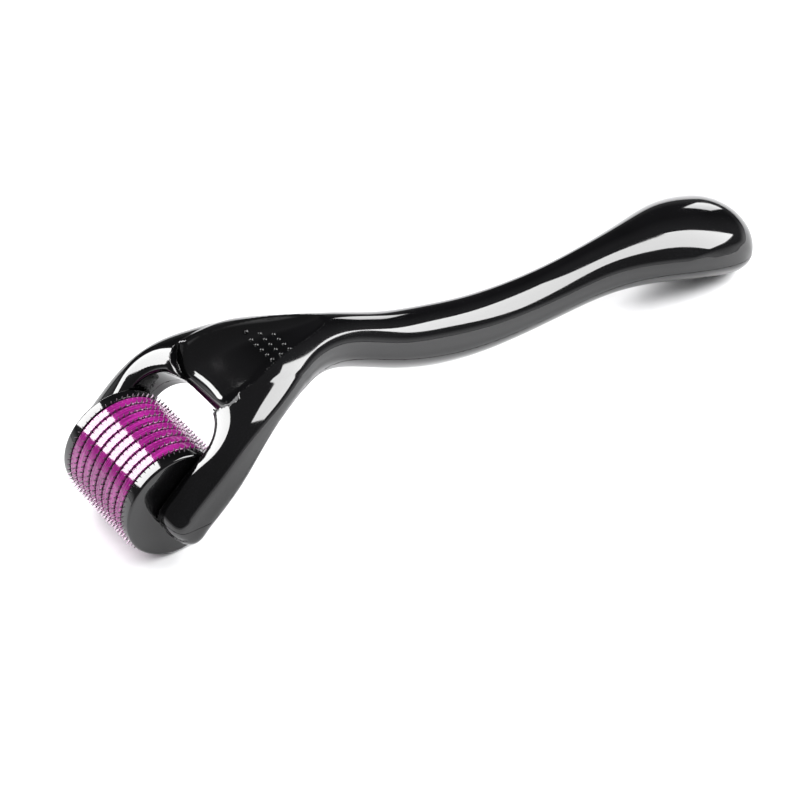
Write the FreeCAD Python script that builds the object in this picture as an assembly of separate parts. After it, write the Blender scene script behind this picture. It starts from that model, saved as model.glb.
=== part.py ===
import FreeCAD, Part
import math
import os

# Derma roller: a two-shell moulded handle whose fork holds a steel axle, and a needle drum that spins on it.
# Millimetres, +X from the roller to the handle's end, +Y to the left arm, +Z up.
# Everything is modelled about the axle, then moved so that the origin is under the middle of the object,
# on the surface it lies on.

Vector = FreeCAD.Vector

# roller drum
drum_radius = 10.0
needle_discs = 9
needles_per_disc = 60
disc_pitch = 2.05
disc_thickness = 0.22
needle_length = 0.6
needle_width = 0.3
needle_tip_width = 0.06
disc_land_radius = 9.75
core_radius = 7.4
cap_width = 2.15
cap_recess = 1.3
cap_edge_fillet = 0.45
ring_edge_fillet = 0.2
thrust_boss_radius = 2.6
thrust_boss_height = 0.45
tip_radius = drum_radius + needle_length

# axle
axle_radius = 1.0
bore_clearance = 0.05
axle_half_length = 14.6
axle_tip_chamfer = 0.3
axle_slot_depth = 1.5

# handle: (x, z, half width, half thickness, roundness, dish depth) along its centreline, from the axle
fork_tip_radius = 5.3
fork_tip_taper = 1.4
fork_tip_degrees = (86.0, 70.0, 50.0, 28.0)
handle_end = 131.2
stations = (
    (0.0, 0.4, 17.5, 5.4, 2.5, 0.0),
    (6.0, 5.5, 17.5, 5.1, 2.5, 1.2),
    (12.0, 9.6, 16.0, 4.5, 2.5, 2.6),
    (18.0, 12.3, 13.6, 4.3, 2.5, 2.3),
    (24.0, 13.3, 10.7, 4.4, 2.4, 2.3),
    (31.0, 12.8, 7.1, 4.6, 2.3, 1.8),
    (38.0, 10.8, 4.8, 4.7, 2.1, 0.0),
    (44.0, 8.1, 4.9, 4.7, 2.0, 0.0),
    (50.0, 5.3, 5.1, 4.95, 2.0, 0.0),
    (58.0, 2.4, 5.2, 5.4, 2.0, 0.0),
    (68.0, 0.1, 5.1, 5.35, 2.0, 0.0),
    (78.0, -0.8, 4.9, 5.0, 2.0, 0.0),
    (88.0, -0.8, 4.8, 4.8, 2.0, 0.0),
    (98.0, -0.5, 5.2, 5.1, 2.0, 0.0),
    (108.0, -1.1, 7.3, 5.5, 2.0, 0.0),
    (116.0, -2.4, 9.4, 6.2, 2.0, 0.0),
    (123.0, -4.45, 10.0, 6.0, 2.0, 0.0),
    (128.0, -6.15, 8.5, 4.6, 2.0, 0.0),
)
bulb_start_degrees = 42.0
bulb_end_degrees = (58.0, 72.0, 83.0, 88.5)
section_points = 32
dish_curvature = 0.022
dish_rim_softness = 0.5
thinnest_dish = 0.3
wall = 1.7
cavity_start = 3
lowest_roof = 0.35

# fork opening, a U cut square to the slope of the arms; its back is measured up the slope from the axle
arm_slope_deg = 41.0
opening_half_width = 11.2
opening_back = 16.0
opening_corner = 6.0

# parting line of the two shells, in side view
parting_line = (
    (-14.0, 3.5), (-6.0, 1.1), (-3.5, 0.0), (0.0, -0.3), (3.2, 0.1), (6.2, 3.0), (12.0, 8.2), (18.0, 11.1),
    (24.0, 12.2), (31.0, 11.6), (38.0, 9.5), (50.0, 4.0), (68.0, -1.2), (88.0, -2.0), (108.0, -2.2),
    (123.0, -4.6), (138.0, -8.0),
)

# snap pegs that join the shells
peg_places = (46.0, 64.0, 84.0, 104.0)
boss_radius = 2.0
boss_reach = 4.6
peg_radius = 1.0
peg_length = 2.0
peg_root = 0.8
peg_clearance = 0.05
peg_end_gap = 0.2

# cutting blocks reach this far, well past the object on every side
far_out = 60.0

overall_length = tip_radius + handle_end
middle = Vector(tip_radius - overall_length / 2.0, 0.0, tip_radius)


def spline(points, parameters=None, periodic=False):
    """A smooth curve through the points."""
    curve = Part.BSplineCurve()
    if parameters is None:
        curve.interpolate(Points=points, PeriodicFlag=periodic)
    else:
        curve.interpolate(Points=points, PeriodicFlag=periodic, Parameters=parameters)
    return curve


def cylinder_along_y(radius, y_from, y_to):
    return Part.makeCylinder(radius, y_to - y_from, Vector(0, y_from, 0), Vector(0, 1, 0))


centreline = spline([Vector(s[0], 0, s[1]) for s in stations], [s[0] for s in stations])


def frame_at(x):
    """Centre and upward normal of the handle's cross-section at x."""
    place = centreline.value(x)
    along = centreline.tangent(x)[0]
    return place, Vector(-along.z, 0, along.x)


def signed_power(value, exponent):
    return math.copysign(abs(value) ** exponent, value)


def section(place, normal, half_width, up, down, roundness, dish):
    """A closed superellipse across the handle, hollowed on top by the thumb dish."""
    points = []
    for k in range(section_points):
        angle = 2.0 * math.pi * k / section_points
        y = half_width * signed_power(math.cos(angle), 2.0 / roundness)
        height = signed_power(math.sin(angle), 2.0 / roundness)
        height *= up if height > 0 else down
        if dish > 0.0 and height > 0.0:
            floor = up - dish + dish_curvature * y * y
            gap = math.sqrt((height - floor) ** 2 + dish_rim_softness ** 2)
            height = max(0.5 * (height + floor - gap), thinnest_dish * height)
        points.append(place + Vector(0, y, 0) + normal * height)
    steps = [float(k) for k in range(section_points + 1)]
    return Part.Wire([spline(points, steps, True).toShape()])


def fork_tip_sections():
    """Sections that round the ends of the two arms about the axle."""
    place, normal = frame_at(stations[0][0])
    along = Vector(normal.z, 0, -normal.x)
    _, _, half_width, _, roundness, _ = stations[0]
    wires = []
    for degrees in fork_tip_degrees:
        back = fork_tip_radius * math.sin(math.radians(degrees))
        half = fork_tip_radius * math.cos(math.radians(degrees))
        pulled_in = fork_tip_taper * (1.0 - half / fork_tip_radius) ** 2
        wide = half_width - pulled_in
        wires.append(section(place - along * back, normal, wide, half, half, roundness, 0.0))
    return wires


def bulb_end_sections(shrink):
    """Sections that close the bulb at the far end of the handle."""
    x0, _, half_width, half_thickness, roundness, _ = stations[-1]
    place, normal = frame_at(x0)
    along = Vector(normal.z, 0, -normal.x)
    # the slope of the last station carries on, so the reach is measured along it
    reach = (handle_end - x0) / along.x - shrink
    start = math.radians(bulb_start_degrees)
    wires = []
    for degrees in bulb_end_degrees:
        angle = math.radians(degrees)
        out = reach * (math.sin(angle) - math.sin(start)) / (1.0 - math.sin(start))
        size = math.cos(angle) / math.cos(start)
        wide = (half_width - shrink) * size
        thick = (half_thickness - shrink) * size
        wires.append(section(place + along * out, normal, wide, thick, thick, roundness, 0.0))
    return wires


def handle_body():
    wires = fork_tip_sections()
    for x, _, half_width, half_thickness, roundness, dish in stations:
        place, normal = frame_at(x)
        wires.append(section(place, normal, half_width, half_thickness, half_thickness, roundness, dish))
    wires += bulb_end_sections(0.0)
    body = Part.makeLoft(wires, True, False)
    return body.cut(fork_opening())


def fork_opening():
    """The U between the arms, cut square to their slope."""
    half, back, corner = opening_half_width, opening_back, opening_corner
    front = -far_out
    slant = corner * (1.0 - math.sqrt(0.5))
    edges = [
        Part.LineSegment(Vector(front, -half, 0), Vector(back - corner, -half, 0)),
        Part.Arc(Vector(back - corner, -half, 0), Vector(back - slant, -half + slant, 0),
                 Vector(back, -half + corner, 0)),
        Part.LineSegment(Vector(back, -half + corner, 0), Vector(back, half - corner, 0)),
        Part.Arc(Vector(back, half - corner, 0), Vector(back - slant, half - slant, 0),
                 Vector(back - corner, half, 0)),
        Part.LineSegment(Vector(back - corner, half, 0), Vector(front, half, 0)),
        Part.LineSegment(Vector(front, half, 0), Vector(front, -half, 0)),
    ]
    face = Part.Face(Part.Wire([edge.toShape() for edge in edges]))
    face.translate(Vector(0, 0, -far_out))
    block = face.extrude(Vector(0, 0, 2 * far_out))
    block.rotate(Vector(0, 0, 0), Vector(0, 1, 0), -arm_slope_deg)
    return block


def handle_cavity():
    """The hollow inside the two shells, from behind the dish to the bulb."""
    wires = []
    for x, _, half_width, half_thickness, _, dish in stations[cavity_start:]:
        place, normal = frame_at(x)
        up = max(half_thickness - dish - wall, lowest_roof)
        wires.append(section(place, normal, half_width - wall, up, half_thickness - wall, 2.0, 0.0))
    wires += bulb_end_sections(wall)
    return Part.makeLoft(wires, True, False)


def above_parting():
    """A block that holds everything above the parting line."""
    line = spline([Vector(x, -far_out, z) for x, z in parting_line])
    start = Vector(parting_line[0][0], -far_out, parting_line[0][1])
    end = Vector(parting_line[-1][0], -far_out, parting_line[-1][1])
    corners = [end, Vector(end.x, -far_out, far_out), Vector(start.x, -far_out, far_out), start]
    edges = [line.toShape()]
    edges += [Part.LineSegment(a, b).toShape() for a, b in zip(corners, corners[1:])]
    return Part.Face(Part.Wire(edges)).extrude(Vector(0, 2 * far_out, 0))


def parting_height(x):
    """Height of the parting line at x."""
    line = spline([Vector(px, 0, pz) for px, pz in parting_line], [px for px, _ in parting_line])
    return line.value(x).z


def peg_boss(x, upward):
    """A post from one shell's inner wall to the parting line."""
    place, _ = frame_at(x)
    seam = parting_height(x)
    if upward:
        return Part.makeCylinder(boss_radius, place.z + boss_reach - seam, Vector(x, 0, seam))
    return Part.makeCylinder(boss_radius, seam - place.z + boss_reach, Vector(x, 0, place.z - boss_reach))


def handle_shells():
    body = handle_body()
    cavity = handle_cavity()
    upper_block = above_parting()
    hollow = body.cut(cavity)
    posts_up = Part.makeCompound([peg_boss(x, True) for x in peg_places]).common(cavity)
    posts_down = Part.makeCompound([peg_boss(x, False) for x in peg_places]).common(cavity)
    socket = cylinder_along_y(axle_radius, -axle_half_length, axle_half_length)
    slot = Part.makeBox(2 * axle_radius, 2 * axle_half_length, axle_slot_depth,
                        Vector(-axle_radius, -axle_half_length, -axle_slot_depth))
    upper = hollow.common(upper_block).fuse(posts_up.common(upper_block)).cut(socket).cut(slot)
    lower = hollow.cut(upper_block).fuse(posts_down.cut(upper_block)).cut(socket)
    for x in peg_places:
        seam = parting_height(x)
        depth = peg_length + peg_root
        peg = Part.makeCylinder(peg_radius, depth, Vector(x, 0, seam - peg_length))
        bottom = Vector(x, 0, seam - peg_length - peg_end_gap)
        hole = Part.makeCylinder(peg_radius + peg_clearance, depth, bottom)
        upper = upper.fuse(peg)
        lower = lower.cut(hole)
    return upper, lower


def axle_pin():
    pin = cylinder_along_y(axle_radius, -axle_half_length, axle_half_length)
    ends = [edge for edge in pin.Edges if len(edge.Vertexes) == 1]
    return pin.makeChamfer(axle_tip_chamfer, ends)


def drum_core():
    half = disc_pitch * (needle_discs - 1) / 2.0 + disc_thickness / 2.0 + cap_recess
    core = cylinder_along_y(core_radius, -half, half)
    return core.cut(cylinder_along_y(axle_radius + bore_clearance, -half, half))


def needle_disc(y, turned):
    """A stamped steel ring with pointed teeth round its edge; turned is a fraction of the tooth spacing."""
    points = []
    root, tip = disc_land_radius, tip_radius
    for k in range(needles_per_disc):
        middle_angle = 2.0 * math.pi * (k + turned) / needles_per_disc
        for radius, width in ((root, -needle_width), (tip, -needle_tip_width), (tip, needle_tip_width),
                              (root, needle_width)):
            angle = middle_angle + 0.5 * width / radius
            points.append(Vector(radius * math.cos(angle), y, radius * math.sin(angle)))
    outline = Part.makePolygon(points + [points[0]])
    disc = Part.Face(outline).extrude(Vector(0, disc_thickness, 0))
    disc.translate(Vector(0, -disc_thickness / 2.0, 0))
    bore = cylinder_along_y(core_radius, y - disc_thickness, y + disc_thickness)
    return disc.cut(bore)


def spacer_ring(y):
    """A plastic ring between two needle discs."""
    width = disc_pitch - disc_thickness
    ring = cylinder_along_y(drum_radius, y - width / 2.0, y + width / 2.0)
    ring = ring.makeFillet(ring_edge_fillet, [e for e in ring.Edges if len(e.Vertexes) == 1])
    return ring.cut(cylinder_along_y(core_radius, y - width, y + width))


def end_cap(side):
    """A disc that closes the stack, with a boss that runs against the fork arm."""
    inner = disc_pitch * (needle_discs - 1) / 2.0 + disc_thickness / 2.0
    outer = inner + cap_width
    cap = cylinder_along_y(drum_radius, inner, outer)
    rim = [e for e in cap.Edges if len(e.Vertexes) == 1 and e.BoundBox.YMax > (inner + outer) / 2.0]
    cap = cap.makeFillet(cap_edge_fillet, rim)
    cap = cap.cut(cylinder_along_y(core_radius, inner, inner + cap_recess))
    cap = cap.fuse(cylinder_along_y(thrust_boss_radius, outer, outer + thrust_boss_height))
    cap = cap.cut(cylinder_along_y(axle_radius + bore_clearance, inner, outer + thrust_boss_height))
    if side < 0:
        cap = cap.mirror(Vector(0, 0, 0), Vector(0, 1, 0))
    return cap


def assembly():
    upper, lower = handle_shells()
    nodes = {
        "handle_upper_shell": upper,
        "handle_lower_shell": lower,
        "axle_pin": axle_pin(),
        "drum_core": drum_core(),
        "end_cap_left": end_cap(1),
        "end_cap_right": end_cap(-1),
    }
    first = -disc_pitch * (needle_discs - 1) / 2.0
    for k in range(needle_discs):
        nodes["needle_disc_%d" % (k + 1)] = needle_disc(first + k * disc_pitch, 0.5 * (k % 2))
    for k in range(needle_discs - 1):
        nodes["spacer_ring_%d" % (k + 1)] = spacer_ring(first + (k + 0.5) * disc_pitch)
    return nodes


os.makedirs("parts", exist_ok=True)
box = FreeCAD.BoundBox()
for name, shape in assembly().items():
    shape.translate(middle)
    box.add(shape.BoundBox)
    print("%-20s solids %d valid %s volume %.1f" % (name, len(shape.Solids), shape.isValid(), shape.Volume))
    shape.exportStep("parts/%s.step" % name)
print("box %.2f %.2f %.2f to %.2f %.2f %.2f" % (box.XMin, box.YMin, box.ZMin, box.XMax, box.YMax, box.ZMax))
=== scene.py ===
import math

import bmesh
import bpy
import numpy as np
from mathutils import Matrix, Vector


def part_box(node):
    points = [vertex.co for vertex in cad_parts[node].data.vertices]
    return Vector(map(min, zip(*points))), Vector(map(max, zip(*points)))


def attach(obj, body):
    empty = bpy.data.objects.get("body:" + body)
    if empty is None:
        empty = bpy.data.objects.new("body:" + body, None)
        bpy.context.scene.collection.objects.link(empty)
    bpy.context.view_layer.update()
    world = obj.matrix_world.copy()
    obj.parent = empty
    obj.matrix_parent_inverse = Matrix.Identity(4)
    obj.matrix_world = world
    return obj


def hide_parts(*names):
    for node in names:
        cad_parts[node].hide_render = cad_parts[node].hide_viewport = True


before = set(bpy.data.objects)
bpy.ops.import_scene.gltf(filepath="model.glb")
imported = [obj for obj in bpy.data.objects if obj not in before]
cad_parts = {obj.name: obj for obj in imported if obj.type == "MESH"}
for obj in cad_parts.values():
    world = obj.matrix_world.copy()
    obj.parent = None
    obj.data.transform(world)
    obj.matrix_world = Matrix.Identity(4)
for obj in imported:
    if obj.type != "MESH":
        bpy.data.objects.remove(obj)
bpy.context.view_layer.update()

MM = 0.001


def node_box(node):
    """A node's lowest and highest corners in millimetres."""
    low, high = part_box(node)
    return np.array(low) / MM, np.array(high) / MM


# everything is worked out in millimetres about the axle, whose place comes from the frame
pin_low, pin_high = node_box("axle_pin")
AXLE = (pin_low + pin_high) / 2.0
cap_low, cap_high = node_box("end_cap_left")
DRUM_RADIUS = (cap_high[2] - cap_low[2]) / 2.0
HANDLE_END = node_box("handle_upper_shell")[1][0] - AXLE[0]

# ---------------------------------------------------------------- driving dimensions of the handle
# centreline in side view, from the axle: x and height
CENTRE_X = (0.0, 6.0, 12.0, 18.0, 24.0, 31.0, 38.0, 44.0, 50.0, 58.0,
            68.0, 78.0, 88.0, 98.0, 108.0, 116.0, 123.0, 130.0)
CENTRE_Z = (0.4, 5.5, 9.6, 12.3, 13.3, 12.8, 10.8, 8.1, 5.3, 2.4,
            0.1, -0.8, -0.8, -0.5, -1.1, -2.4, -4.3, -6.9)
# half width of the cross-sections, and their half thickness and roundness over and under the centreline
SIZE_X = CENTRE_X[:15] + (115.0, 121.5)
HALF_WIDTH = (17.0, 17.0, 15.8, 13.6, 10.9, 7.3, 5.2, 4.9, 5.1, 5.2, 5.1, 4.9, 4.8, 5.3, 7.5, 9.5, 10.3)
THICK_OVER = (4.6, 5.0, 5.8, 5.6, 5.2, 4.7, 4.6, 4.7, 4.95, 5.4, 5.35, 5.0, 4.8, 5.1, 6.0, 6.8, 7.0)
THICK_UNDER = (5.0, 4.6, 4.4, 4.3, 4.4, 4.5, 4.6, 4.7, 4.95, 5.4, 5.35, 5.0, 4.8, 5.0, 5.4, 5.7, 5.7)
ROUND_OVER = (3.8, 3.8, 3.2, 2.2) + (2.0,) * 13
ROUND_UNDER = (4.2, 4.2, 3.2, 2.6, 2.4, 2.3, 2.1) + (2.0,) * 10
BULB_REACH = 9.85
BULB_ROUNDNESS = 2.5

# fork opening, measured up the slope of the arms from the axle
ARM_SLOPE = math.radians(41.0)
OPENING_HALF = 11.2
OPENING_BACK = 16.0
OPENING_CORNER = 6.4
OPENING_DRAFT = 0.10
TIP_POWER = 7.0
TIP_SQUARENESS = 2.7
AXLE_RADIUS = (pin_high[2] - pin_low[2]) / 2.0
AXLE_HALF = (pin_high[1] - pin_low[1]) / 2.0

# parting line of the two shells, in side view
SEAM_X = (-14.0, -6.0, -3.5, 0.0, 3.2, 6.2, 12.0, 18.0, 24.0,
          31.0, 38.0, 50.0, 68.0, 88.0, 108.0, 123.0, 138.0)
SEAM_Z = (3.5, 1.1, 0.0, -0.3, 0.1, 3.0, 8.2, 11.1, 12.2,
          11.6, 9.5, 4.0, -1.2, -2.0, -2.2, -4.6, -8.0)

VOXEL = 0.3


# ---------------------------------------------------------------- curves and blends
class Spline:
    """A cubic curve through points, carried on straight past its ends."""

    def __init__(self, xs, ys, start_slope=None, end_slope=None):
        x = np.array(xs)
        y = np.array(ys)
        n = len(x)
        h = np.diff(x)
        rise = np.diff(y) / h
        matrix = np.zeros((n, n))
        right = np.zeros(n)
        for i in range(1, n - 1):
            matrix[i, i - 1:i + 2] = h[i - 1], 2.0 * (h[i - 1] + h[i]), h[i]
            right[i] = 6.0 * (rise[i] - rise[i - 1])
        matrix[0, 0] = matrix[-1, -1] = 1.0
        if start_slope is not None:
            matrix[0, :2] = 2.0 * h[0], h[0]
            right[0] = 6.0 * (rise[0] - start_slope)
        if end_slope is not None:
            matrix[-1, -2:] = h[-1], 2.0 * h[-1]
            right[-1] = 6.0 * (end_slope - rise[-1])
        self.bend = np.linalg.solve(matrix, right)
        self.x, self.y, self.h = x, y, h

    def __call__(self, at, order=0):
        at = np.asarray(at, float)
        inside = np.clip(at, self.x[0], self.x[-1])
        k = np.clip(np.searchsorted(self.x, inside) - 1, 0, len(self.h) - 1)
        h, a = self.h[k], inside - self.x[k]
        m0, m1 = self.bend[k], self.bend[k + 1]
        b = (self.y[k + 1] - self.y[k]) / h - h * (2.0 * m0 + m1) / 6.0
        slope = b + a * m0 + a * a * (m1 - m0) / (2.0 * h)
        if order == 1:
            return slope
        if order == 2:
            return np.where(at == inside, m0 + a * (m1 - m0) / h, 0.0)
        value = self.y[k] + a * b + a * a * m0 / 2.0 + a ** 3 * (m1 - m0) / (6.0 * h)
        return value + (at - inside) * slope


centre = Spline(CENTRE_X, CENTRE_Z)
half_width = Spline(SIZE_X, HALF_WIDTH, 0.0, 0.0)
thick_over = Spline(SIZE_X, THICK_OVER, 0.0, 0.0)
thick_under = Spline(SIZE_X, THICK_UNDER, 0.0, 0.0)
round_over = Spline(SIZE_X, ROUND_OVER, 0.0, 0.0)
round_under = Spline(SIZE_X, ROUND_UNDER, 0.0, 0.0)
seam = Spline(SEAM_X, SEAM_Z)


def smooth_max(a, b, width):
    """The larger of two values, blended where they differ by less than width."""
    overlap = np.maximum(width - np.abs(a - b), 0.0)
    return np.maximum(a, b) + overlap * overlap / (4.0 * width)


def smooth_min(a, b, width):
    return -smooth_max(-a, -b, width)


def ease(low, high, value):
    """Zero at low, one at high, smooth between; low may be the larger one."""
    t = np.clip((value - low) / (high - low), 0.0, 1.0)
    return t * t * (3.0 - 2.0 * t)


# ---------------------------------------------------------------- the handle as a distance field
def unroll(x, z):
    """Where each point of the side view lies along the centreline, and how far above it."""
    samples = np.linspace(CENTRE_X[0] - 10.0, CENTRE_X[-1] + 6.0, 220)
    heights = centre(samples)
    flat_x, flat_z = x.ravel(), z.ravel()
    t = np.empty(flat_x.size)
    for first in range(0, flat_x.size, 20000):
        part = slice(first, first + 20000)
        gap = (flat_x[part, None] - samples) ** 2 + (flat_z[part, None] - heights) ** 2
        t[part] = samples[np.argmin(gap, axis=1)]
    t = t.reshape(x.shape)
    return settle(x, z, t)


def settle(x, z, t):
    """Newton steps from a near place on the centreline to the nearest one."""
    for _ in range(4):
        height, slope = centre(t), centre(t, 1)
        miss = (x - t) + (z - height) * slope
        change = -1.0 - slope * slope + (z - height) * centre(t, 2)
        t = t - np.clip(miss / np.minimum(change, -0.2), -1.0, 1.0)
    slope = centre(t, 1)
    run = np.sqrt(1.0 + slope * slope)
    above = ((z - centre(t)) - (x - t) * slope) / run
    return t, above


def solid_body(t, above, y):
    """Signed distance to the plain handle, before the fork opening and the thumb dish."""
    inside = np.clip(t, SIZE_X[0], SIZE_X[-1])
    wide = half_width(inside)
    thick = np.where(above > 0.0, thick_over(inside), thick_under(inside))
    power = np.where(above > 0.0, round_over(inside), round_under(inside))
    before = np.maximum(-t, 0.0) * math.sqrt(1.0 + float(centre(0.0, 1)) ** 2)
    high = (np.abs(above) ** TIP_SQUARENESS + before ** TIP_SQUARENESS) ** (1.0 / TIP_SQUARENESS)
    # the ends of the arms are rounded in side view but nearly square in plan
    power = power + (TIP_POWER - power) * (before / np.maximum(high, 1e-6)) ** 2
    u = np.maximum(np.abs(y) / wide, 1e-6)
    v = np.maximum(high / thick, 1e-6)
    r = (u ** power + v ** power) ** (1.0 / power)
    beyond = np.maximum(t - SIZE_X[-1], 0.0) * math.sqrt(1.0 + float(centre(SIZE_X[-1], 1)) ** 2)
    w = beyond / BULB_REACH
    q = (r ** BULB_ROUNDNESS + w ** BULB_ROUNDNESS) ** (1.0 / BULB_ROUNDNESS)
    q_r = (r / q) ** (BULB_ROUNDNESS - 1.0)
    slope_y = q_r * (u / r) ** (power - 1.0) / wide
    slope_h = q_r * (v / r) ** (power - 1.0) / thick
    slope_d = (w / q) ** (BULB_ROUNDNESS - 1.0) / BULB_REACH
    return (q - 1.0) / np.sqrt(slope_y ** 2 + slope_h ** 2 + slope_d ** 2)


def up_slope(x, z):
    """Place along the slope of the arms."""
    return x * math.cos(ARM_SLOPE) + z * math.sin(ARM_SLOPE)


def out_of_slope(x, z):
    """Height over the plane through the axle that the arms slope along."""
    return z * math.cos(ARM_SLOPE) - x * math.sin(ARM_SLOPE)


def opening(up, y, above):
    """Signed distance to the U between the arms, negative in it; its walls lean in at the top."""
    side = np.abs(y) + OPENING_DRAFT * above - (OPENING_HALF - OPENING_CORNER)
    back = up - (OPENING_BACK - OPENING_CORNER)
    outside = np.sqrt(np.maximum(side, 0.0) ** 2 + np.maximum(back, 0.0) ** 2)
    return outside + np.minimum(np.maximum(side, back), 0.0) - OPENING_CORNER


# the tongue is the front rim of the thumb dish: a sloping face between the dish's lip and the crotch
TONGUE_CENTRE = 21.5
TONGUE_FRONT = 5.7
TONGUE_HALF = 9.3
TONGUE_POWER = 2.8
RIM_LIMIT = 1.2
ROLL_CREST = 17.2
ROLL_REACH = 1.5
ROLL_DROP = 1.3
ROLL_HEIGHT = 1.0
ROLL_RISE = 1.5
ROLL_TILT = 0.32
ROLL_LEVEL = 18.5
ROLL_TILTED = (12.0, 24.0)


def tongue_outline(up, y):
    """Signed distance in plan to the tongue's front edge, negative inside."""
    u = np.maximum(TONGUE_CENTRE - up, 0.0) / TONGUE_FRONT
    v = np.maximum(np.abs(y), 1e-3) / TONGUE_HALF
    r = (u ** TONGUE_POWER + v ** TONGUE_POWER) ** (1.0 / TONGUE_POWER)
    steep = np.sqrt(((u / r) ** (TONGUE_POWER - 1.0) / TONGUE_FRONT) ** 2
                    + ((v / r) ** (TONGUE_POWER - 1.0) / TONGUE_HALF) ** 2)
    return (r - 1.0) / steep


def tongue_top(up, y):
    """Height of the tongue's face out of the slope: low in the middle, rising into the side rims."""
    crest = ROLL_HEIGHT + ROLL_RISE * np.minimum(np.abs(y) / TONGUE_HALF, RIM_LIMIT) ** 2
    crest = crest - ROLL_TILT * (ROLL_LEVEL - np.clip(up, *ROLL_TILTED))
    front = np.clip((ROLL_CREST - up) / ROLL_REACH, 0.0, 1.0)
    return crest - ROLL_DROP * (1.0 - np.sqrt(1.0 - front * front))


# thumb dish in side view: the height of its floor, and its half width
DISH_X = (10.0, 13.4, 16.0, 18.7, 21.5, 25.0, 28.5, 32.0, 35.0, 38.0, 41.0)
DISH_Z = (11.9, 12.85, 13.55, 14.3, 14.85, 15.15, 15.15, 15.3, 15.75, 16.5, 17.6)
dish_floor = Spline(DISH_X, DISH_Z)
DISH_SIDE_X = (12.0, 14.0, 17.0, 20.0, 24.0, 28.0, 31.0, 34.0, 37.0, 39.5)
dish_half = Spline(DISH_SIDE_X, (8.2, 8.4, 8.4, 7.7, 6.4, 5.1, 4.2, 3.1, 1.6, 0.5))
DISH_STEEPNESS = 6.0
DISH_WALL = 4.0
DISH_NARROWEST = 0.3
DISH_SIDE_LIMIT = 1.5


def dish_surface(x, y):
    """Height of the dish: nearly flat across, with walls that turn up steeply at its sides."""
    wide = np.maximum(dish_half(np.clip(x, DISH_SIDE_X[0], DISH_SIDE_X[-1])), DISH_NARROWEST)
    side = np.minimum(np.abs(y) / wide, DISH_SIDE_LIMIT)
    return dish_floor(np.clip(x, DISH_X[0], DISH_X[-1])) + DISH_WALL * side ** DISH_STEEPNESS


# the arms' upper faces fall towards the opening, over a strip that widens into the crotch
FALL_SLOPE = 0.32
FALL_AT_TIP = 0.6
FALL_AT_CROTCH = 4.4
FALL_BLEND = 0.8
FALL_WIDENS = (2.0, 17.0)
FALL_OVER_CENTRE = (0.0, 2.5)
FALL_RUNS_OUT = (25.0, 16.0)
# widths of the blends where the handle's surfaces meet
ARM_EDGE = 1.2
DISH_LIP = 0.4
TONGUE_TOP_EDGE = 0.5
TONGUE_PLAN_EDGE = 0.3
TONGUE_SIDE_EDGE = 0.8
TONGUE_ROOT = 0.4
# the dish's height is a distance only after scaling for the slope of its walls
DISH_SCALE = 0.75


def handle_field(x, y, z, t, above):
    """Signed distance to the whole handle."""
    plain = solid_body(t, above, y)
    up = up_slope(x, z)
    gap = opening(up, y, above)
    strip = FALL_AT_TIP + (FALL_AT_CROTCH - FALL_AT_TIP) * ease(*FALL_WIDENS, up)
    fall = FALL_SLOPE * smooth_max(strip - gap, 0.0, FALL_BLEND)
    fall = fall * ease(*FALL_OVER_CENTRE, above) * ease(*FALL_RUNS_OUT, up)
    arms = smooth_max(plain + fall, -gap, ARM_EDGE)
    outline = tongue_outline(up, y)
    cap = out_of_slope(x, z) - tongue_top(up, y)
    arms = np.maximum(arms, -np.maximum(-cap, outline))
    top = smooth_max(plain, cap, TONGUE_TOP_EDGE)
    front = smooth_max(-gap, outline, TONGUE_PLAN_EDGE)
    tongue = smooth_max(top, front, TONGUE_SIDE_EDGE)
    both = smooth_min(arms, tongue, TONGUE_ROOT)
    dish = (z - dish_surface(x, y)) * DISH_SCALE
    carved = smooth_max(both, dish, DISH_LIP)
    bore = np.maximum(np.sqrt(x * x + z * z) - AXLE_RADIUS, np.abs(y) - AXLE_HALF)
    return np.maximum(carved, -bore)


def sample_grid(field, low, high, step):
    """The field on a grid; the side-view part of the work is done once for all y."""
    axes = [np.arange(low[k], high[k] + step, step) for k in range(3)]
    x, z = np.meshgrid(axes[0], axes[2], indexing="ij")
    t, above = unroll(x, z)
    values = np.empty((len(axes[0]), len(axes[1]), len(axes[2])), np.float32)
    for j, y in enumerate(axes[1]):
        values[:, j, :] = field(x, np.full_like(x, y), z, t, above)
    return values, axes


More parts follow.
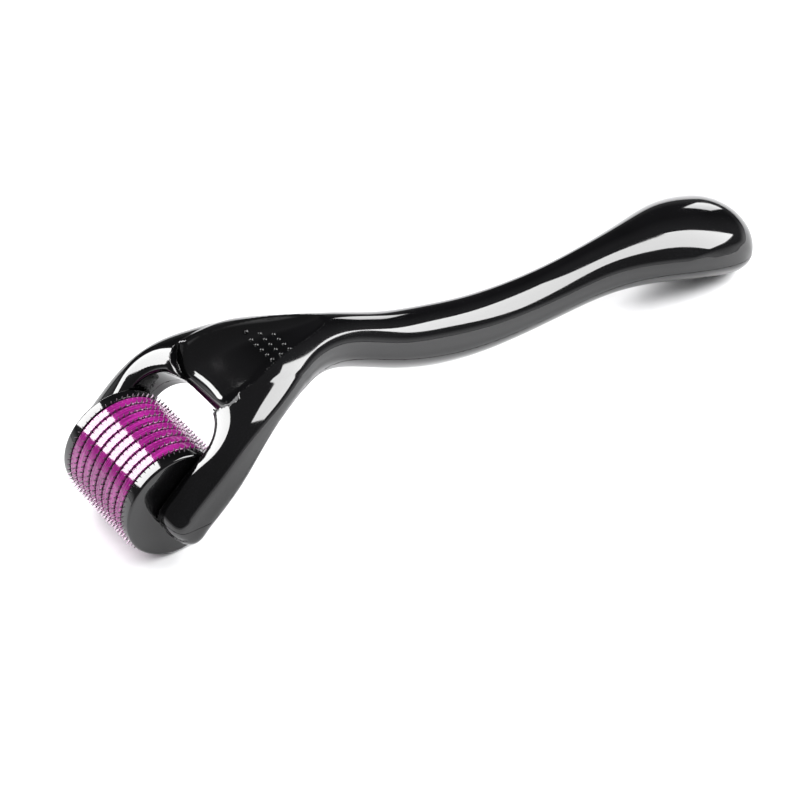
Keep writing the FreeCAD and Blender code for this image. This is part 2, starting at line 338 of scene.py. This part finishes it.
def surface_nets(values, axes):
    """A quad mesh of the zero surface: one vertex in each grid cell that the surface crosses."""
    inside = values < 0.0
    size = np.array(values.shape) - 1
    corner = [(i, j, k) for i in (0, 1) for j in (0, 1) for k in (0, 1)]

    def shifted(array, c):
        return array[c[0]:c[0] + size[0], c[1]:c[1] + size[1], c[2]:c[2] + size[2]]

    count = sum(shifted(inside, c).astype(np.int8) for c in corner)
    cells = np.argwhere((count > 0) & (count < 8))
    number = np.full(size, -1, np.int64)
    number[tuple(cells.T)] = np.arange(len(cells))
    total = np.zeros((len(cells), 3))
    hits = np.zeros(len(cells))
    for c in corner:
        for axis in range(3):
            if c[axis]:
                continue
            other = list(c)
            other[axis] = 1
            a = values[tuple((cells + c).T)]
            b = values[tuple((cells + other).T)]
            cut = (a < 0.0) != (b < 0.0)
            part = np.where(cut, a / np.where(cut, a - b, 1.0), 0.0)
            place = np.tile(np.array(c, float), (len(cells), 1))
            place[:, axis] += part
            total += place * cut[:, None]
            hits += cut
    local = cells + total / hits[:, None]
    start = np.array([axis[0] for axis in axes])
    step = axes[0][1] - axes[0][0]
    points = start + local * step
    quads = []
    for axis in range(3):
        second, third = (axis + 1) % 3, (axis + 2) % 3
        low = [slice(None)] * 3
        low[axis] = slice(0, -1)
        low[second] = slice(1, -1)
        low[third] = slice(1, -1)
        high = list(low)
        high[axis] = slice(1, None)
        a, b = inside[tuple(low)], inside[tuple(high)]
        edge = np.argwhere(a != b)
        outward = a[tuple(edge.T)]
        base = edge.copy()
        base[:, second] += 1
        base[:, third] += 1
        ring = []
        for d_second, d_third in ((-1, -1), (0, -1), (0, 0), (-1, 0)):
            cell = base.copy()
            cell[:, second] += d_second
            cell[:, third] += d_third
            ring.append(number[tuple(cell.T)])
        quad = np.stack(ring, axis=1)
        quad[~outward] = quad[~outward][:, ::-1]
        quads.append(quad)
    return points, np.vstack(quads)


def gradient(field, points, t):
    """Field value and gradient at points that have a known place along the centreline."""
    reach = 0.02

    def at(p):
        place, above = settle(p[:, 0], p[:, 2], t)
        return field(p[:, 0], p[:, 1], p[:, 2], place, above)

    value = at(points)
    slope = np.empty_like(points)
    for axis in range(3):
        step = np.zeros(3)
        step[axis] = reach
        slope[:, axis] = (at(points + step) - at(points - step)) / (2.0 * reach)
    return value, slope


def skin(field, low, high, step):
    """Vertices, faces and normals of a field's surface, drawn onto the exact surface."""
    values, axes = sample_grid(field, low, high, step)
    points, quads = surface_nets(values, axes)
    for _ in range(2):
        t, _above = unroll(points[:, 0], points[:, 2])
        value, slope = gradient(field, points, t)
        length = np.maximum((slope ** 2).sum(axis=1), 0.05)
        move = slope * (value / length)[:, None]
        points = points - np.clip(move, -step, step)
    t, _above = unroll(points[:, 0], points[:, 2])
    _value, slope = gradient(field, points, t)
    normals = slope / np.maximum(np.linalg.norm(slope, axis=1), 1e-9)[:, None]
    return points, quads, normals


def mesh_object(name, points, faces, normals=None):
    """A Blender object from millimetre points about the axle."""
    mesh = bpy.data.meshes.new(name)
    mesh.from_pydata(((points + AXLE) * MM).tolist(), [], [list(map(int, f)) for f in faces])
    mesh.validate()
    piece = bpy.data.objects.new(name, mesh)
    bpy.context.scene.collection.objects.link(piece)
    for face in mesh.polygons:
        face.use_smooth = True
    if normals is not None:
        mesh.normals_split_custom_set_from_vertices(normals.tolist())
    return piece


def placed(piece, body, nodes=()):
    """Give a piece its body and the CAD nodes that it stands for."""
    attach(piece, body)
    if nodes:
        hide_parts(*nodes)


# ---------------------------------------------------------------- handle shells
SEAM_GAP = 0.1
SEAM_TUCK = 0.07
CAP_STRIP = 1.0
# the box that the handle's surface is looked for in, about the axle
SKIN_LOW = (-8.0, -19.0, -12.0)
SKIN_HIGH = (HANDLE_END + 2.0, 19.0, 19.0)


def split_skin(points, quads, normals, keep_above):
    """Cut the skin along the parting line, keep one side, tuck its edge in a little and close it."""
    sign = 1.0 if keep_above else -1.0
    sheared = sign * (points[:, 2] - seam(points[:, 0]))
    work = bmesh.new()
    layer = work.verts.layers.float_vector.new("normal")
    verts = []
    for p, s, n in zip(points.tolist(), sheared.tolist(), normals.tolist()):
        vert = work.verts.new((p[0], p[1], s))
        vert[layer] = n
        verts.append(vert)
    wanted = quads[(sheared[quads] > 0.0).any(axis=1)]
    for quad in wanted.tolist():
        work.faces.new([verts[k] for k in quad])
    bmesh.ops.delete(work, geom=[v for v in work.verts if not v.link_faces], context="VERTS")
    edge = SEAM_GAP / 2.0
    everything = list(work.verts) + list(work.edges) + list(work.faces)
    cut = bmesh.ops.bisect_plane(work, geom=everything, dist=0.02, plane_co=(0, 0, edge),
                                 plane_no=(0, 0, 1), clear_inner=True)
    rim = [e for e in cut["geom_cut"] if isinstance(e, bmesh.types.BMEdge)]
    for vert in {v for e in rim for v in e.verts}:
        vert.co -= Vector(vert[layer]) * SEAM_TUCK
        vert.co.z = edge
    filled = bmesh.ops.triangle_fill(work, use_beauty=True, edges=rim, normal=(0, 0, -1))
    cap = [f for f in filled["geom"] if isinstance(f, bmesh.types.BMFace)]
    low = min(v.co.x for f in cap for v in f.verts)
    high = max(v.co.x for f in cap for v in f.verts)
    # the closing face is cut into strips, so that it bends with the parting line
    for k in range(1, int((high - low) / CAP_STRIP)):
        x = low + k * CAP_STRIP
        crossing = [f for f in cap if min(v.co.x for v in f.verts) < x < max(v.co.x for v in f.verts)]
        around = list({e for f in crossing for e in f.edges}) + list({v for f in crossing for v in f.verts})
        done = bmesh.ops.bisect_plane(work, geom=crossing + around, dist=1e-4, plane_co=(x, 0, 0),
                                      plane_no=(1, 0, 0))
        cap = list(set(f for f in cap if f.is_valid)
                   | {f for f in done["geom"] if isinstance(f, bmesh.types.BMFace)})
    flat = set(cap)
    work.verts.index_update()
    shell = np.array([(v.co.x, v.co.y, sign * v.co.z) for v in work.verts])
    shell[:, 2] += seam(shell[:, 0])
    shell_normals = [tuple(v[layer]) for v in work.verts]
    faces = [[v.index for v in f.verts] for f in work.faces]
    closing = [f in flat for f in work.faces]
    if not keep_above:
        faces = [face[::-1] if closes else face for face, closes in zip(faces, closing)]
    work.free()
    return shell, faces, shell_normals, closing


def handle_shells():
    """The two halves of the handle; the closing faces get flat normals of their own."""
    points, quads, normals = skin(handle_field, SKIN_LOW, SKIN_HIGH, VOXEL)
    pieces = []
    for name, above in (("upper_shell", True), ("lower_shell", False)):
        shell, faces, shell_normals, closing = split_skin(points, quads, normals, above)
        piece = mesh_object(name, shell, faces)
        mesh = piece.data
        custom = [shell_normals[loop.vertex_index] for loop in mesh.loops]
        for face, flat in zip(mesh.polygons, closing):
            if flat:
                face.use_smooth = False
                for k in face.loop_indices:
                    custom[k] = tuple(face.normal)
        mesh.normals_split_custom_set(custom)
        placed(piece, "handle", ["handle_" + name])
        pieces.append(piece)
    return pieces


# ---------------------------------------------------------------- grip dots in the dish
DOT_ORIGIN = (24.1, 4.9)
DOT_ALONG = (1.95, -1.3)
DOT_ACROSS = (0.0, -1.62)
DOTS_IN_ROW = (6, 6, 4)
DOT_RADIUS = 0.46
DOT_HEIGHT = 0.34
DOT_SUNK = 0.15
DOT_SIDES = 16
DOT_LEVELS = 5


def grip_dots():
    """Low domes in three slanting rows, moulded on the floor of the dish."""
    around, up = DOT_SIDES, DOT_LEVELS
    points, faces = [], []
    for row, count in enumerate(DOTS_IN_ROW):
        for place in range(count):
            x = DOT_ORIGIN[0] + row * DOT_ALONG[0] + place * DOT_ACROSS[0]
            y = DOT_ORIGIN[1] + row * DOT_ALONG[1] + place * DOT_ACROSS[1]
            base = float(dish_surface(np.array(x), np.array(y)))
            first = len(points)
            for level in range(up):
                rise = level / up * math.pi / 2.0
                for step in range(around):
                    angle = 2.0 * math.pi * step / around
                    reach = DOT_RADIUS * math.cos(rise)
                    height = (DOT_HEIGHT + DOT_SUNK) * math.sin(rise) - DOT_SUNK
                    points.append((x + reach * math.cos(angle), y + reach * math.sin(angle), base + height))
            points.append((x, y, base + DOT_HEIGHT))
            top = len(points) - 1
            for level in range(up - 1):
                circle = first + level * around
                for step in range(around):
                    here = circle + step
                    there = circle + (step + 1) % around
                    faces.append((here, there, there + around, here + around))
            last = first + (up - 1) * around
            faces += [(last + step, last + (step + 1) % around, top) for step in range(around)]
            faces.append(tuple(first + step for step in reversed(range(around))))
    dots = mesh_object("grip_dots", np.array(points), faces)
    dots.data.set_sharp_from_angle(angle=math.radians(60.0))
    placed(dots, "handle")
    return dots


# ---------------------------------------------------------------- turned parts of the drum
TURN_STEPS = 240
ARC_STEPS = 6
RING_BORE = 7.4
RING_FILLET = 0.22
RING_CROWN = 0.015
RING_WAVE = 0.004
RING_TILT = 0.006
CAP_WIDTH = 2.15
CAP_FILLET = 0.45
CAP_INNER_FILLET = 0.1
CAP_RECESS = 1.3
BOSS_RADIUS = 2.6
BOSS_FILLET = 0.12
BOSS_MARGIN = 0.4
BORE_RADIUS = 1.05


def rounded(corners):
    """An outline from corners (y, radius, fillet): every corner with a fillet becomes an arc."""
    outline = []
    count = len(corners)
    for k, (y, radius, fillet) in enumerate(corners):
        here = np.array((y, radius))
        if fillet == 0.0:
            outline.append(here)
            continue
        back = np.array(corners[k - 1][:2]) - here
        ahead = np.array(corners[(k + 1) % count][:2]) - here
        back, ahead = back / np.linalg.norm(back), ahead / np.linalg.norm(ahead)
        centre_of_arc = here + (back + ahead) * fillet
        for step in range(ARC_STEPS + 1):
            angle = step / ARC_STEPS * math.pi / 2.0
            outline.append(centre_of_arc - fillet * (ahead * math.cos(angle) + back * math.sin(angle)))
    return outline


def turned(name, outline, ripple=None):
    """A ring swept round the axle from an outline of (y, radius); ripple adds a little to a radius."""
    points = []
    count = len(outline)
    for step in range(TURN_STEPS):
        angle = 2.0 * math.pi * step / TURN_STEPS
        for y, radius in outline:
            if ripple:
                radius = radius + ripple(angle, y, radius)
            points.append((radius * math.cos(angle), y, radius * math.sin(angle)))
    faces = []
    for step in range(TURN_STEPS):
        here, there = step * count, (step + 1) % TURN_STEPS * count
        for k in range(count):
            after = (k + 1) % count
            faces.append((here + k, here + after, there + after, there + k))
    piece = mesh_object(name, np.array(points), faces)
    piece.data.set_sharp_from_angle(angle=math.radians(50.0))
    return piece


def drum_ring(number, node, draw):
    """One coloured ring, very slightly barrelled and wavy as moulded rings are."""
    low, high = node_box(node)
    left, right = low[1], high[1]
    middle, half = (left + right) / 2.0, (right - left) / 2.0
    corners = [(left, RING_BORE, 0.0), (left, DRUM_RADIUS, RING_FILLET)]
    crown = [(middle + half * f, DRUM_RADIUS, 0.0) for f in (-0.5, -0.25, 0.0, 0.25, 0.5)]
    corners += crown + [(right, DRUM_RADIUS, RING_FILLET), (right, RING_BORE, 0.0)]
    phase = draw.uniform(0.0, 2.0 * math.pi)
    turns = draw.integers(2, 5)
    tilt = draw.uniform(-1.0, 1.0)

    def ripple(angle, y, radius):
        if radius < DRUM_RADIUS - 2.0 * RING_FILLET:
            return 0.0
        across = (y - middle) / half
        wave = RING_WAVE * (math.sin(turns * angle + phase) - 1.0)
        return wave - RING_CROWN * across * across + RING_TILT * tilt * across

    ring = turned("ring_%d" % number, rounded(corners), ripple)
    placed(ring, "roller_drum", [node])
    return ring


def drum_cap(side, node):
    """A black disc that closes the stack, with a boss that runs against the fork arm."""
    low, high = node_box(node)
    inner = min(abs(low[1]), abs(high[1]))
    boss = max(abs(low[1]), abs(high[1]))
    face = inner + CAP_WIDTH
    recess = inner + CAP_RECESS
    corners = [(inner, RING_BORE, 0.0), (inner, DRUM_RADIUS, CAP_INNER_FILLET),
               (face, DRUM_RADIUS, CAP_FILLET), (face, BOSS_RADIUS + BOSS_MARGIN, 0.0),
               (face, BOSS_RADIUS, 0.0), (boss, BOSS_RADIUS, BOSS_FILLET), (boss, BORE_RADIUS, 0.0),
               (recess, BORE_RADIUS, 0.0), (recess, RING_BORE, 0.0)]
    outline = [(side * y, radius) for y, radius in rounded(corners)]
    if side < 0:
        outline = outline[::-1]
    cap = turned("cap_left" if side > 0 else "cap_right", outline)
    placed(cap, "roller_drum", [node])
    return cap


# ---------------------------------------------------------------- materials
def new_material(name):
    """A node material, its nodes and links, and its shader."""
    material = bpy.data.materials.new(name)
    material.use_nodes = True
    nodes, links = material.node_tree.nodes, material.node_tree.links
    return material, nodes, links, nodes["Principled BSDF"]


def noise(nodes, links, vector, scale, detail=3.0):
    """A noise texture's factor over a vector, its scale in waves per metre."""
    texture = nodes.new("ShaderNodeTexNoise")
    texture.inputs["Scale"].default_value = scale
    texture.inputs["Detail"].default_value = detail
    links.new(vector, texture.inputs["Vector"])
    return texture.outputs["Fac"]


def ramp(nodes, links, factor, low, high, start=0.35, end=0.65):
    """Two colours mixed by a factor."""
    blend = nodes.new("ShaderNodeValToRGB")
    blend.color_ramp.elements[0].position = start
    blend.color_ramp.elements[1].position = end
    blend.color_ramp.elements[0].color = low + (1,)
    blend.color_ramp.elements[1].color = high + (1,)
    links.new(factor, blend.inputs["Fac"])
    return blend.outputs["Color"]


def span(nodes, links, factor, low, high):
    """A factor spread over a range."""
    spread = nodes.new("ShaderNodeMapRange")
    spread.inputs["From Min"].default_value = 0.3
    spread.inputs["From Max"].default_value = 0.7
    spread.inputs["To Min"].default_value = low
    spread.inputs["To Max"].default_value = high
    links.new(factor, spread.inputs["Value"])
    return spread.outputs["Result"]


def relief(nodes, links, shader, height, depth, strength):
    """Bump from a height, its depth in metres."""
    bump = nodes.new("ShaderNodeBump")
    bump.inputs["Strength"].default_value = strength
    bump.inputs["Distance"].default_value = depth
    links.new(height, bump.inputs["Height"])
    links.new(bump.outputs["Normal"], shader.inputs["Normal"])


def round_the_axle(nodes, links):
    """Coordinates that follow the drum: distance round it, along it and out from it, in metres."""
    place = nodes.new("ShaderNodeTexCoord")
    shift = nodes.new("ShaderNodeVectorMath")
    shift.operation = "SUBTRACT"
    shift.inputs[1].default_value = tuple(AXLE * MM)
    links.new(place.outputs["Object"], shift.inputs[0])
    split = nodes.new("ShaderNodeSeparateXYZ")
    links.new(shift.outputs["Vector"], split.inputs["Vector"])
    angle = nodes.new("ShaderNodeMath")
    angle.operation = "ARCTAN2"
    links.new(split.outputs["Z"], angle.inputs[0])
    links.new(split.outputs["X"], angle.inputs[1])
    arc = nodes.new("ShaderNodeMath")
    arc.operation = "MULTIPLY"
    arc.inputs[1].default_value = DRUM_RADIUS * MM
    links.new(angle.outputs["Value"], arc.inputs[0])
    return split, arc.outputs["Value"]


def streak_vector(nodes, links, round_scale, along_scale):
    """A vector that changes slowly round the drum and fast along it, for turned lines on the pin and for the
    drum rings' moulded lines and painted reflection.
    """
    split, arc = round_the_axle(nodes, links)
    slow = nodes.new("ShaderNodeMath")
    slow.operation = "MULTIPLY"
    slow.inputs[1].default_value = round_scale
    links.new(arc, slow.inputs[0])
    fast = nodes.new("ShaderNodeMath")
    fast.operation = "MULTIPLY"
    fast.inputs[1].default_value = along_scale
    links.new(split.outputs["Y"], fast.inputs[0])
    join = nodes.new("ShaderNodeCombineXYZ")
    links.new(slow.outputs["Value"], join.inputs["X"])
    links.new(fast.outputs["Value"], join.inputs["Y"])
    return join.outputs["Vector"]


def gloss_black():
    """Polished black injection-moulded plastic with the faint waviness that mouldings have."""
    material, nodes, links, shader = new_material("gloss_black")
    shader.inputs["IOR"].default_value = 1.52
    place = nodes.new("ShaderNodeTexCoord").outputs["Object"]
    tint = ramp(nodes, links, noise(nodes, links, place, 60.0), (0.0018, 0.0018, 0.0020),
                (0.0030, 0.0030, 0.0034))
    links.new(tint, shader.inputs["Base Color"])
    polish = span(nodes, links, noise(nodes, links, place, 260.0, 5.0), 0.045, 0.085)
    links.new(polish, shader.inputs["Roughness"])
    relief(nodes, links, shader, noise(nodes, links, place, 110.0, 1.0), 0.0001, 0.10)
    return material


def magenta():
    """Glossy magenta plastic with fine lines round the drum, whose dark and light tones are partly moulded
    lines and partly painted reflection.
    """
    material, nodes, links, shader = new_material("magenta_plastic")
    shader.inputs["IOR"].default_value = 1.52
    lines_and_painted_reflection = noise(nodes, links, streak_vector(nodes, links, 160.0, 5200.0), 1.0, 4.0)
    # painted reflection in the tint: the dark streaks stand for the dark ceiling and the light ones for
    # bright lines mirrored in the glossy rings, on top of the rings' moulded lines
    tint = ramp(nodes, links, lines_and_painted_reflection, (0.075, 0.003, 0.050), (0.290, 0.015, 0.200))
    links.new(tint, shader.inputs["Base Color"])
    links.new(span(nodes, links, lines_and_painted_reflection, 0.05, 0.10), shader.inputs["Roughness"])
    relief(nodes, links, shader, lines_and_painted_reflection, 0.00002, 0.12)
    return material


def needle_metal():
    """Stamped stainless steel with fine grinding marks; its base colour is darkened and tinted pink as
    painted shade and a painted reflection of the magenta rings.
    """
    material, nodes, links, shader = new_material("needle_steel")
    shader.inputs["Metallic"].default_value = 1.0
    place = nodes.new("ShaderNodeTexCoord").outputs["Object"]
    marks = noise(nodes, links, place, 3000.0, 4.0)
    # painted shade and painted reflection: the steel's colour is kept dark and pinkish, so the needles look
    # dim and magenta-tinted instead of bright steel
    tint = ramp(nodes, links, marks, (0.08, 0.06, 0.075), (0.18, 0.14, 0.17))
    links.new(tint, shader.inputs["Base Color"])
    links.new(span(nodes, links, marks, 0.28, 0.45), shader.inputs["Roughness"])
    relief(nodes, links, shader, marks, 0.00002, 0.3)
    return material


def axle_metal():
    """Ground steel with marks round the pin."""
    material, nodes, links, shader = new_material("axle_steel")
    shader.inputs["Metallic"].default_value = 1.0
    marks = noise(nodes, links, streak_vector(nodes, links, 200.0, 6000.0), 1.0, 4.0)
    tint = ramp(nodes, links, marks, (0.50, 0.50, 0.52), (0.66, 0.66, 0.68))
    links.new(tint, shader.inputs["Base Color"])
    links.new(span(nodes, links, marks, 0.18, 0.34), shader.inputs["Roughness"])
    relief(nodes, links, shader, marks, 0.00002, 0.4)
    return material


def hub_plastic():
    """Dull dark moulded plastic."""
    material, nodes, links, shader = new_material("core_plastic")
    place = nodes.new("ShaderNodeTexCoord").outputs["Object"]
    grain = noise(nodes, links, place, 1800.0, 5.0)
    tint = ramp(nodes, links, grain, (0.020, 0.020, 0.022), (0.036, 0.036, 0.039))
    links.new(tint, shader.inputs["Base Color"])
    links.new(span(nodes, links, grain, 0.45, 0.62), shader.inputs["Roughness"])
    relief(nodes, links, shader, grain, 0.00005, 0.5)
    return material


def studio_paper():
    """The pale floor."""
    material, nodes, links, shader = new_material("studio_paper")
    place = nodes.new("ShaderNodeTexCoord").outputs["Object"]
    grain = noise(nodes, links, place, 400.0, 4.0)
    tint = ramp(nodes, links, grain, (0.86, 0.86, 0.87), (0.88, 0.88, 0.89))
    links.new(tint, shader.inputs["Base Color"])
    shader.inputs["Roughness"].default_value = 0.7
    return material


# ---------------------------------------------------------------- stage, light and camera
VIEW_ACROSS = math.radians(54.39)
VIEW_DOWN = math.radians(40.26)
CAMERA_DISTANCE = 500.0
SENSOR_WIDTH = 36.0
FOCAL_PIXELS = 2954.0
PICTURE_PIXELS = 800.0
ACROSS_FROM_AXLE = 43.0
ABOVE_AXLE = 12.15
FLOOR_HALF = 3.0
LIT_PLACE = Vector((-0.01, 0.0, 0.012))
BOX_DISTANCE = 0.75
BOX_RADIANCE = 16.0
FAR_BOX_SHARE = 1.15
BACK_BOX_SHARE = 0.4
CEILING = (0.16, 0.16, 0.165)
HORIZON = (1.30, 1.30, 1.32)
HORIZON_BAND = (0.05, 0.22)
DARK_SIDE = math.radians(58.0)
DARK_ROOM = (0.10, 0.10, 0.10)
DARK_EDGE = (0.45, 0.75)


def camera():
    """A camera on a long lens that looks down on the handle from the roller's side."""
    level = math.cos(VIEW_DOWN)
    forward = Vector((level * math.cos(VIEW_ACROSS), level * math.sin(VIEW_ACROSS), -math.sin(VIEW_DOWN)))
    right = Vector((math.sin(VIEW_ACROSS), -math.cos(VIEW_ACROSS), 0.0))
    up = right.cross(forward)
    place = Vector(AXLE) + right * ACROSS_FROM_AXLE + up * ABOVE_AXLE - forward * CAMERA_DISTANCE
    data = bpy.data.cameras.new("camera")
    data.sensor_width = SENSOR_WIDTH
    data.lens = FOCAL_PIXELS / PICTURE_PIXELS * SENSOR_WIDTH
    data.clip_start = 0.01
    eye = bpy.data.objects.new("camera", data)
    turn = Matrix((right, up, -forward)).transposed().to_4x4()
    eye.matrix_world = Matrix.Translation(place * MM) @ turn
    bpy.context.scene.collection.objects.link(eye)
    bpy.context.scene.camera = eye


def soft_box(name, azimuth, elevation, wide, high, radiance, roll=0.0):
    """A flat soft light that faces the handle; its place, spread and roll are in degrees seen from there."""
    azimuth, elevation = math.radians(azimuth), math.radians(elevation)
    level = math.cos(elevation)
    aim = Vector((level * math.cos(azimuth), level * math.sin(azimuth), math.sin(elevation)))
    across = Vector((-math.sin(azimuth), math.cos(azimuth), 0.0))
    data = bpy.data.lights.new(name, "AREA")
    data.shape = "RECTANGLE"
    data.size = 2.0 * BOX_DISTANCE * math.tan(math.radians(wide / 2.0))
    data.size_y = 2.0 * BOX_DISTANCE * math.tan(math.radians(high / 2.0))
    data.energy = radiance * math.pi * data.size * data.size_y
    light = bpy.data.objects.new(name, data)
    turn = Matrix((across, aim.cross(across), aim)).transposed().to_4x4()
    turn = turn @ Matrix.Rotation(math.radians(roll), 4, "Z")
    light.matrix_world = Matrix.Translation(LIT_PLACE + aim * BOX_DISTANCE) @ turn
    bpy.context.scene.collection.objects.link(light)


def lay_floor():
    """A wide pale table top."""
    mesh = bpy.data.meshes.new("floor")
    half = FLOOR_HALF
    corners = [(-half, -half, 0), (half, -half, 0), (half, half, 0), (-half, half, 0)]
    mesh.from_pydata(corners, [], [(0, 1, 2, 3)])
    floor = bpy.data.objects.new("floor", mesh)
    bpy.context.scene.collection.objects.link(floor)
    mesh.materials.append(studio_paper())


def light_room():
    """A room that is bright low down and dark on one side, with three soft boxes."""
    world = bpy.data.worlds.new("studio")
    bpy.context.scene.world = world
    world.use_nodes = True
    nodes, links = world.node_tree.nodes, world.node_tree.links
    place = nodes.new("ShaderNodeTexCoord")
    split = nodes.new("ShaderNodeSeparateXYZ")
    links.new(place.outputs["Generated"], split.inputs["Vector"])
    sky = ramp(nodes, links, split.outputs["Z"], HORIZON, CEILING, *HORIZON_BAND)
    behind = nodes.new("ShaderNodeVectorMath")
    behind.operation = "DOT_PRODUCT"
    behind.inputs[1].default_value = (math.cos(DARK_SIDE), math.sin(DARK_SIDE), 0.0)
    links.new(place.outputs["Generated"], behind.inputs[0])
    shade = ramp(nodes, links, behind.outputs["Value"], (1.0, 1.0, 1.0), DARK_ROOM, *DARK_EDGE)
    mixed = nodes.new("ShaderNodeVectorMath")
    mixed.operation = "MULTIPLY"
    links.new(sky, mixed.inputs[0])
    links.new(shade, mixed.inputs[1])
    links.new(mixed.outputs["Vector"], nodes["Background"].inputs["Color"])
    soft_box("side_box", -31.0, 42.0, 37.0, 38.0, BOX_RADIANCE)
    soft_box("far_box", 122.0, 38.0, 42.0, 24.0, FAR_BOX_SHARE * BOX_RADIANCE, -45.0)
    soft_box("back_box", 32.0, 13.0, 11.0, 11.0, BACK_BOX_SHARE * BOX_RADIANCE)
    bpy.context.scene.view_settings.view_transform = "Standard"


# ---------------------------------------------------------------- building
black = gloss_black()
for shell in handle_shells() + [grip_dots()]:
    shell.data.materials.append(black)
draw = np.random.default_rng(5)
pink = magenta()
for node in sorted(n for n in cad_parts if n.startswith("spacer_ring")):
    drum_ring(int(node.rsplit("_", 1)[1]), node, draw).data.materials.append(pink)
for side, node in ((1, "end_cap_left"), (-1, "end_cap_right")):
    drum_cap(side, node).data.materials.append(black)
carried = {"needle_disc": needle_metal(), "axle_pin": axle_metal(), "drum_core": hub_plastic()}
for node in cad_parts:
    for start, material in carried.items():
        if node.startswith(start):
            for slot in bpy.data.objects[node].material_slots:
                slot.material = material
lay_floor()
light_room()
camera()
